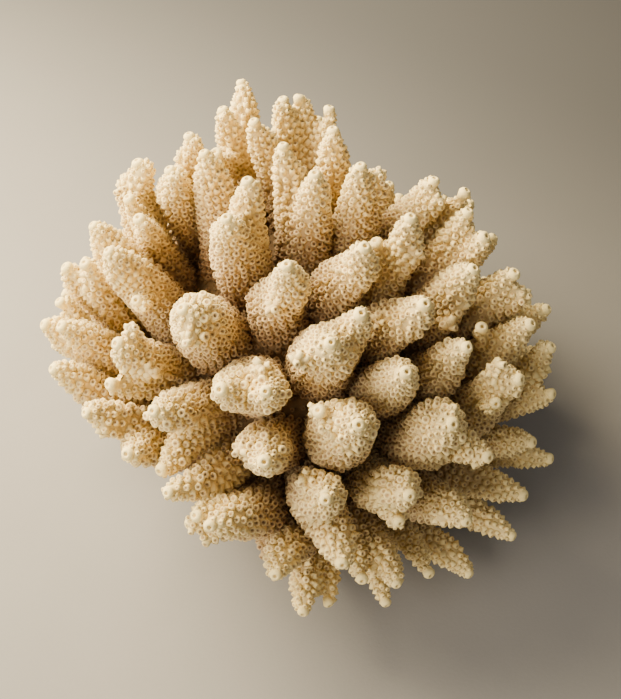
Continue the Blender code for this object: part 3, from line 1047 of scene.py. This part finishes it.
@dataclass
class Branch(Grown):
    """One branch: a stem with its radial corallites and one axial corallite a tip."""

    habit: Habit = Habit.OPEN
    tips: list = field(default_factory=list)

    # Where a finger's end is looked for, and how far corallites stay off it
    tip_reach: float = 5.5 * MM
    tip_apart: float = 6.6 * MM
    tip_around: float = 9.35 * MM
    tip_facing: float = 0.75
    tip_core: float = 2.2 * MM
    tip_clear: float = 2.15 * MM
    tip_crowd: float = 11.0 * MM

    # The stem: thicker away from its tips, cut off under the axial corallites
    thick_from: float = 14.0 * MM
    thick_over: float = 24.0 * MM
    thicken: float = 1.5 * MM
    taper: float = 0.25 * MM
    taper_over: float = 12.0 * MM
    end_cut: float = 1.3 * MM
    end_flat: float = 1.2 * MM
    end_slope: float = 0.75
    end_width: float = 4.0 * MM
    end_height: float = 3.5 * MM
    # Painted shade on the bare stem between the corallites, starting dark_from back from the tips
    dark_from: float = 1.5 * MM
    dark_over: float = 3.0 * MM
    stem_dark: float = 0.45

    # The axial corallites, and the ring under one that has to be in the stem
    dome_sizes: tuple = (0.9, 1.08)
    dome_rise: float = 0.55 * MM
    dome_root: float = 1.9 * MM
    dome_radius: float = 1.8 * MM
    dome_bare: float = 0.7 * MM
    most_bare: float = 0.62

    # The radial corallites: room, size and lean, and how deep their feet stand
    crowded: float = 0.6
    tries: float = 4.2
    sizes: tuple = (0.92, 1.08)
    heights: tuple = (0.88, 1.1)
    end_size: float = 0.54
    end_tall: float = 0.55
    end_lean: float = 18.0
    stray: float = 0.16
    lean_spread: float = 4.5
    sparse_from: float = 34.0 * MM
    sparse_over: float = 20.0 * MM
    foot_depth: float = 1.1 * MM
    foot_cover: float = 0.45 * MM

    # The cups round a blunt end
    cup_from: float = 6.0 * MM
    cup_to: float = 11.5 * MM
    cup_room: float = 3.5 * MM
    cup_rise: float = 12.0
    cup_sizes: tuple = (0.85, 1.12)
    cup_heights: tuple = (0.75, 1.2)

    # The depth value, from the tips back, which the finish turns into tan and painted shade deeper in the
    # colony
    depth_from: float = 6.0 * MM
    depth_over: float = 48.0 * MM

    # The root, flared and sunk into the trunk
    root_clear: float = 1.2 * MM
    flare: float = 1.8 * MM
    flare_reach: float = 5.0 * MM
    sink_facing: float = 0.55
    sink_from: float = 2.5 * MM
    root_depth: float = 2.6 * MM
    ground_clear: float = 1.9 * MM

    def build(self) -> Object:
        """Model the branch and dress it.

        Returns:
            The finished piece.
        """
        stem = Stem(self.node).model()
        self.tips = self.find_tips(stem.data)
        self.flare_root(stem.data)
        places, _ = corner_arrays(stem.data)
        apart, _ = self.tip_distance(places)
        # Painted shade on the bare stem between the corallites, none at the tips
        pore = self.stem_dark * ramp(apart, self.dark_from, self.dark_over)
        self.shape.add_mesh(stem.data, pore, ramp(apart, self.depth_from, self.depth_over))
        self.add_radials(stem.data)
        self.add_axials()
        return self.dress(self.shape.piece("coral_" + self.node, stem))

    def dress(self, piece: Object) -> Object:
        """Give the piece its finish and its place in the model.

        Args:
            piece: the piece.

        Returns:
            The same piece.
        """
        piece.data.materials.append(self.colony.branch_finish)
        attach(piece, "root")
        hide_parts(self.node)
        return piece

    def flare_root(self, mesh: Mesh) -> None:
        """Widen the stem towards the trunk, and sink its end into the trunk.

        Args:
            mesh: the stem's mesh.
        """
        places, normals = corner_arrays(mesh)
        near = distances(self.colony.trunk_tree, places)
        inward = unit(GROWTH_POINT - places)
        sink = ((normals * inward).sum(1) > self.sink_facing) & (near < self.sink_from)
        apart, _ = self.tip_distance(places)
        wide = self.flare * np.exp(-((near / self.flare_reach) ** 2))
        wide = wide + self.thicken * ramp(apart, self.thick_from, self.thick_over)
        wide = wide - self.taper * (1.0 - ramp(apart, 0.0, self.taper_over))
        places = places + normals * np.where(sink, 0.0, wide)[:, None]
        places = places + inward * np.where(sink, self.root_depth, 0.0)[:, None]
        for tip, aim in self.tips:
            places = self.cut_end(places, tip, aim)
        places[:, 2] = np.maximum(places[:, 2], self.ground_clear)
        move_corners(mesh, places)

    def cut_end(self, places: Array, tip: Array, aim: Array) -> Array:
        """Lower the stem's end under the axial corallite, which leaves its hole open.

        Args:
            places: the stem's corners.
            tip: where the finger ends.
            aim: the finger's direction there.

        Returns:
            The corners, those at the end lowered.
        """
        ahead, beside = ahead_and_beside(places, tip, aim)
        most = self.end_slope * np.clip(beside - self.end_flat, 0.0, None) - self.end_cut
        high = (ahead > most) & (beside < self.end_width) & (np.abs(ahead) < self.end_height)
        return places - aim * np.where(high, ahead - most, 0.0)[:, None]

    def find_tips(self, mesh: Mesh) -> list[tuple[Array, Array]]:
        """Find where the fingers end.

        Args:
            mesh: the stem's mesh.

        Returns:
            The place and the direction of each tip.
        """
        places, normals = corner_arrays(mesh)
        reach = np.linalg.norm(places - GROWTH_POINT, axis=1)
        tree = place_tree(places)
        tips: list = []
        for i in np.argsort(-reach):
            outward = unit(places[i] - GROWTH_POINT)
            if tips and normals[i] @ outward < self.tip_facing:
                continue
            around = [j for _, j, _ in tree.find_range(places[i], self.tip_reach)]
            if reach[around].max() > reach[i]:
                continue
            if any(np.linalg.norm(place - places[i]) < self.tip_apart for place, _ in tips):
                continue
            wide = places[[j for _, j, _ in tree.find_range(places[i], self.tip_around)]]
            middle = wide.mean(0)
            aim = unit(unit(places[i] - middle) + 0.8 * outward)
            ahead, beside = ahead_and_beside(wide, middle, aim)
            top = ahead[beside < self.tip_core]
            height = top.max() if len(top) else ahead.max()
            tips.append((middle + aim * height, aim))
        skin = surface_tree([mesh])
        firm = [pair for pair in tips if self.bare_share(skin, *pair) < self.most_bare]
        return firm or tips[:1]

    def bare_share(self, skin: BVHTree, tip: Array, aim: Array) -> float:
        """How much of the ring under an axial corallite would stand clear of the stem.

        Args:
            skin: the stem's surface.
            tip: where the finger ends.
            aim: the finger's direction there.

        Returns:
            A share from 0, all of it in the stem, to 1.
        """
        side = unit(np.cross(aim, [0.31, 0.95, 0.05]))
        ring = self.dome_radius * (side * np.cos(RING) + np.cross(aim, side) * np.sin(RING))
        outside = clearance(skin, tip - aim * self.dome_root + ring)
        return float((outside > self.dome_bare).mean())

    def tip_distance(self, places: Array) -> tuple[Array, Array]:
        """Distance to the nearest tip, and which one it is."""
        apart = np.stack([np.linalg.norm(places - tip, axis=1) for tip, _ in self.tips])
        return apart.min(0), apart.argmin(0)

    def room_at(self, places: Array) -> Array:
        """Find the room that a corallite needs.

        Args:
            places: one row a place.

        Returns:
            The room at each place, or 0 where none grows.
        """
        apart, _ = self.tip_distance(places)
        room = rise_from(self.crowded, ramp(apart, 0.0, self.tip_crowd))
        room = room * SETTINGS[self.habit].spacing
        room = room * (1.0 + 0.35 * ramp(apart, self.sparse_from, self.sparse_over))
        root = distances(self.colony.trunk_tree, places) < self.root_clear
        return np.where(root | (apart < self.tip_clear), 0.0, room)

    def pick_cups(self, places: Array, apart: Array) -> tuple[Array, Array]:
        """Choose the corallites that grow into cups round a blunt end.

        Args:
            places: where the corallites stand.
            apart: how far each is from its tip.

        Returns:
            Whether each corallite is a cup, and whether it stays beside the cups.
        """
        cup = np.zeros(len(places), bool)
        stay = np.ones(len(places), bool)
        if not SETTINGS[self.habit].cups:
            return cup, stay
        band = np.nonzero((apart > self.cup_from) & (apart < self.cup_to))[0]
        chosen: list = []
        for i in self.rand.permutation(band):
            if all(np.linalg.norm(places[i] - places[j]) > self.cup_room for j in chosen):
                chosen.append(i)
        for i in chosen:
            stay[np.linalg.norm(places - places[i], axis=1) < 0.42 * self.cup_room] = False
        cup[chosen] = True
        stay[chosen] = True
        return cup, stay

    def add_radials(self, mesh: Mesh) -> None:
        """Set radial corallites all over the stem, leaning towards the tips.

        Args:
            mesh: the stem's mesh.
        """
        rand = self.rand
        setting = SETTINGS[self.habit]
        closest = setting.spacing * self.crowded
        sites = Sites.spread(mesh, self.room_at, closest, rand, self.tries)
        apart, which = self.tip_distance(sites.places)
        cup, stay = self.pick_cups(sites.places, apart)
        places, normals = sites.places[stay], sites.normals[stay]
        apart, which, cup = apart[stay], which[stay], cup[stay]
        number = len(places)
        near = ramp(apart, 0.0, self.tip_crowd)
        ends = np.array([tip for tip, _ in self.tips])
        growth = unit(ends[which] - (places - normals * 5.0 * MM))
        along = on_surface(growth, normals)
        along = unit(on_surface(along + rand.normal(0.0, self.stray, along.shape), normals))
        lean = setting.lean + self.end_lean * (1.0 - near) - self.cup_rise * cup
        axes = leaning(normals, along, lean + rand.normal(0.0, self.lean_spread, number))
        skin = surface_tree([mesh])
        bare = clearance(skin, places - axes * self.foot_depth) > -self.foot_cover
        axes = np.where(bare[:, None], unit(normals + 0.35 * along), axes)
        held = clearance(skin, places - axes * self.foot_depth) < -0.5 * self.foot_cover
        size = rise_from(self.end_size, near) * setting.scale * rand.uniform(*self.sizes, number)
        size = np.where(cup, rand.uniform(*self.cup_sizes, number), size)
        far = ramp(apart, self.sparse_from, self.sparse_over)
        tall = size * setting.tall * rand.uniform(*self.heights, number) * (1.0 - 0.3 * far)
        tall = tall * rise_from(self.end_tall, near)
        tall = np.where(cup, size * rand.uniform(*self.cup_heights, number), tall)
        tone = rand.uniform(-1.0, 1.0, number)
        depth = ramp(apart, self.depth_from, self.depth_over)
        stand = Stand(places, axes, along, np.stack([size, tall], axis=1), tone, depth)
        for stamp, mine in ((self.colony.radial, ~cup & held), (self.colony.cup, cup & held)):
            if mine.any():
                self.shape.add_copies(stamp, stand.only(mine))

    def add_axials(self) -> None:
        """End each finger in its axial corallite."""
        ends, axes = (np.array(rows) for rows in zip(*self.tips))
        sides = self.rand.normal(0.0, 1.0, axes.shape)
        scale = self.rand.uniform(*self.dome_sizes, len(ends))
        zero = np.zeros(len(ends))
        scales = np.stack([scale, scale], axis=1)
        tops = ends + axes * self.dome_rise
        self.shape.add_copies(self.colony.axial, Stand(tops, axes, sides, scales, zero, zero))


@dataclass
class Trunk(Grown):
    """The trunk: swollen round each root, with sparse low corallites of its own."""

    swell: float = 4.2 * MM
    swell_reach: float = 6.5 * MM
    swell_over: float = 8.0 * MM
    cut_height: float = 1.2 * MM
    spacing: float = 2.9 * MM
    root_clear: float = 0.6 * MM
    ground_clear: float = 2.5 * MM
    sizes: tuple = (0.72, 1.0)
    heights: tuple = (0.45, 0.85)
    stray: float = 0.2
    lean: float = 22.0
    lean_spread: float = 6.0

    def build(self) -> Object:
        """Model the trunk and dress it.

        Returns:
            The finished piece.
        """
        stem = Stem(self.node, voxel=1.8 * MM, inset=0.3 * MM, lump_height=2.6 * MM,
                    lump_width=16.0 * MM).model()
        self.swell_roots(stem.data)
        _, normals = corner_arrays(stem.data)
        # Painted shade as pore 0.3 on the bare trunk between its corallites, and more in its core through
        # the depth value
        self.shape.add_mesh(stem.data, np.full(len(normals), 0.3), self.depth_of(normals))
        self.add_corallites(stem.data)
        return self.dress(self.shape.piece("coral_trunk", stem))

    def dress(self, piece: Object) -> Object:
        """Give the piece its finish and its place in the model.

        Args:
            piece: the piece.

        Returns:
            The same piece.
        """
        piece.data.materials.append(self.colony.trunk_finish)
        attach(piece, "root")
        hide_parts(TRUNK)
        return piece

    def swell_roots(self, mesh: Mesh) -> None:
        """Raise the trunk round the roots, and keep its cut flat on the ground.

        Args:
            mesh: the trunk's mesh.
        """
        places, normals = corner_arrays(mesh)
        near = distances(self.colony.branch_tree, places)
        rise = self.swell * np.exp(-((near / self.swell_reach) ** 2))
        rise = rise * ramp(places[:, 2], 0.0, self.swell_over)
        places = places + normals * rise[:, None]
        places[:, 2] = np.where(places[:, 2] < self.cut_height, 0.0, places[:, 2])
        move_corners(mesh, places)

    def room_at(self, places: Array) -> Array:
        """Room at each place, or 0 under a branch and on the cut."""
        root = distances(self.colony.branch_tree, places) < self.root_clear
        return np.where(root | (places[:, 2] < self.ground_clear), 0.0, self.spacing)

    def add_corallites(self, mesh: Mesh) -> None:
        """Set low corallites on the trunk between the roots.

        Args:
            mesh: the trunk's mesh.
        """
        rand = self.rand
        sites = Sites.spread(mesh, self.room_at, self.spacing, rand, 7.0)
        places, normals = sites.places, sites.normals
        number = len(places)
        along = on_surface(unit(places - GROWTH_POINT) + np.array([0.0, 0.0, 0.7]), normals)
        along = unit(along + rand.normal(0.0, self.stray, along.shape))
        lean = self.lean + rand.normal(0.0, self.lean_spread, number)
        axes = unit(leaning(normals, along, lean))
        size = rand.uniform(*self.sizes, number)
        scales = np.stack([size, size * rand.uniform(*self.heights, number)], axis=1)
        tone = rand.uniform(-1.0, 1.0, number)
        stand = Stand(places, axes, along, scales, tone, self.depth_of(normals) - 0.08)
        self.shape.add_copies(self.colony.radial, stand)

    @staticmethod
    def depth_of(normals: Array) -> Array:
        """Depth value on the trunk, which the finish turns into darker tan and painted shade: 1 on top, in
        the core, and less on its sides.
        """
        return rise_from(0.76, ramp(normals[:, 2], 0.0, 0.625))


@dataclass
class Studio:
    """Sheet, lights and camera."""

    sheet_side: float = 3.0
    elevation: float = 55.0
    eye: tuple = (-0.0018, -0.1949, 0.3355)
    lens: float = 48.93
    sensor: float = 36.0
    nearest: float = 0.01
    aim: tuple = (0.0, 0.0, 0.05)
    key_place: tuple = (-0.29, 0.185, 0.335)
    key_size: float = 0.34
    key_power: float = 14.0
    key_colour: tuple = (1.0, 0.865, 0.61)
    fill_place: tuple = (-0.50, -0.42, 0.40)
    fill_size: float = 0.5
    fill_power: float = 7.5
    fill_colour: tuple = (1.0, 0.92, 0.80)
    sky: tuple = (1.0, 0.965, 0.94)
    sky_power: float = 0.36

    def build(self) -> None:
        """Set everything up."""
        self.lay_sheet()
        self.hang_light("key", self.key_place, self.key_size, self.key_power, self.key_colour)
        self.hang_light("fill", self.fill_place, self.fill_size, self.fill_power, self.fill_colour)
        self.light_room()
        self.place_camera()

    def lay_sheet(self) -> None:
        """Lay the pale sheet on the ground."""
        bpy.ops.mesh.primitive_plane_add(size=self.sheet_side, location=(0.0, 0.0, 0.0))
        sheet = bpy.context.object
        sheet.name = "sheet"
        sheet.data.materials.append(SheetFinish().material())

    def hang_light(self, name: str, place: tuple, size: float, power: float, colour: tuple) -> None:
        """Hang a square lamp that points at the coral.

        Args:
            name: the lamp's name.
            place: where it hangs.
            size: its side in metres.
            power: its power in watts.
            colour: its light's colour.
        """
        data = bpy.data.lights.new(name, "AREA")
        data.shape = "SQUARE"
        data.size = size
        data.energy = power
        data.color = colour
        lamp = bpy.data.objects.new(name, data)
        bpy.context.scene.collection.objects.link(lamp)
        lamp.location = place
        aim = Vector(self.aim) - Vector(place)
        lamp.rotation_euler = aim.to_track_quat("-Z", "Y").to_euler()

    def light_room(self) -> None:
        """Give the room an even light."""
        world = bpy.data.worlds.new("room")
        bpy.context.scene.world = world
        world.use_nodes = True
        back = world.node_tree.nodes["Background"]
        back.inputs["Color"].default_value = (*self.sky, 1.0)
        back.inputs["Strength"].default_value = self.sky_power

    def place_camera(self) -> None:
        """Set the camera where the photograph was taken from."""
        data = bpy.data.cameras.new("camera")
        data.lens = self.lens
        data.sensor_width = self.sensor
        data.clip_start = self.nearest
        camera = bpy.data.objects.new("camera", data)
        bpy.context.scene.collection.objects.link(camera)
        camera.location = self.eye
        camera.rotation_euler = (math.radians(90.0 - self.elevation), 0.0, 0.0)
        bpy.context.scene.camera = camera


def habit_of(node: str) -> Habit:
    """Say how the corallites of a branch stand, which is open where nothing is listed."""
    return next((habit for habit, nodes in LISTED.items() if node in nodes), Habit.OPEN)


def count_triangles(piece: Object) -> int:
    """Number of triangles in a piece."""
    _, sizes = face_arrays(piece.data)
    return int((sizes - 2).sum())


def main() -> None:
    """Build every piece, then the studio, and note the sizes."""
    logging.basicConfig(level=logging.INFO, format="%(name)s: %(message)s")
    branches = sorted(set(SOLIDS) - {TRUNK})
    colony = Colony(
        radial=RadialCorallite().model(),
        cup=CupCorallite().model(),
        axial=AxialCorallite().model(),
        trunk_tree=surface_tree([SOLIDS[TRUNK]]),
        branch_tree=surface_tree([SOLIDS[node] for node in branches]),
        branch_finish=SkeletonFinish("coral skeleton").material(),
        # The trunk's darker colours are partly its own greyer tone and partly painted shade of the crevices
        # between the branches
        trunk_finish=SkeletonFinish("coral trunk", tan=(0.34, 0.22, 0.095, 1.0),
                                    stain=(0.125, 0.072, 0.027, 1.0), back=0.8).material(),
    )
    total = 0
    for number, node in enumerate(branches):
        piece = Branch(node, FIRST_SEED + number, colony, habit=habit_of(node)).build()
        total += count_triangles(piece)
        log.info("%s: %d triangles, %s", piece.name, count_triangles(piece), habit_of(node).value)
    piece = Trunk(TRUNK, TRUNK_SEED, colony).build()
    total += count_triangles(piece)
    log.info("%s: %d triangles, %d in all", piece.name, count_triangles(piece), total)
    Studio().build()


if __name__ == "__main__":
    main()
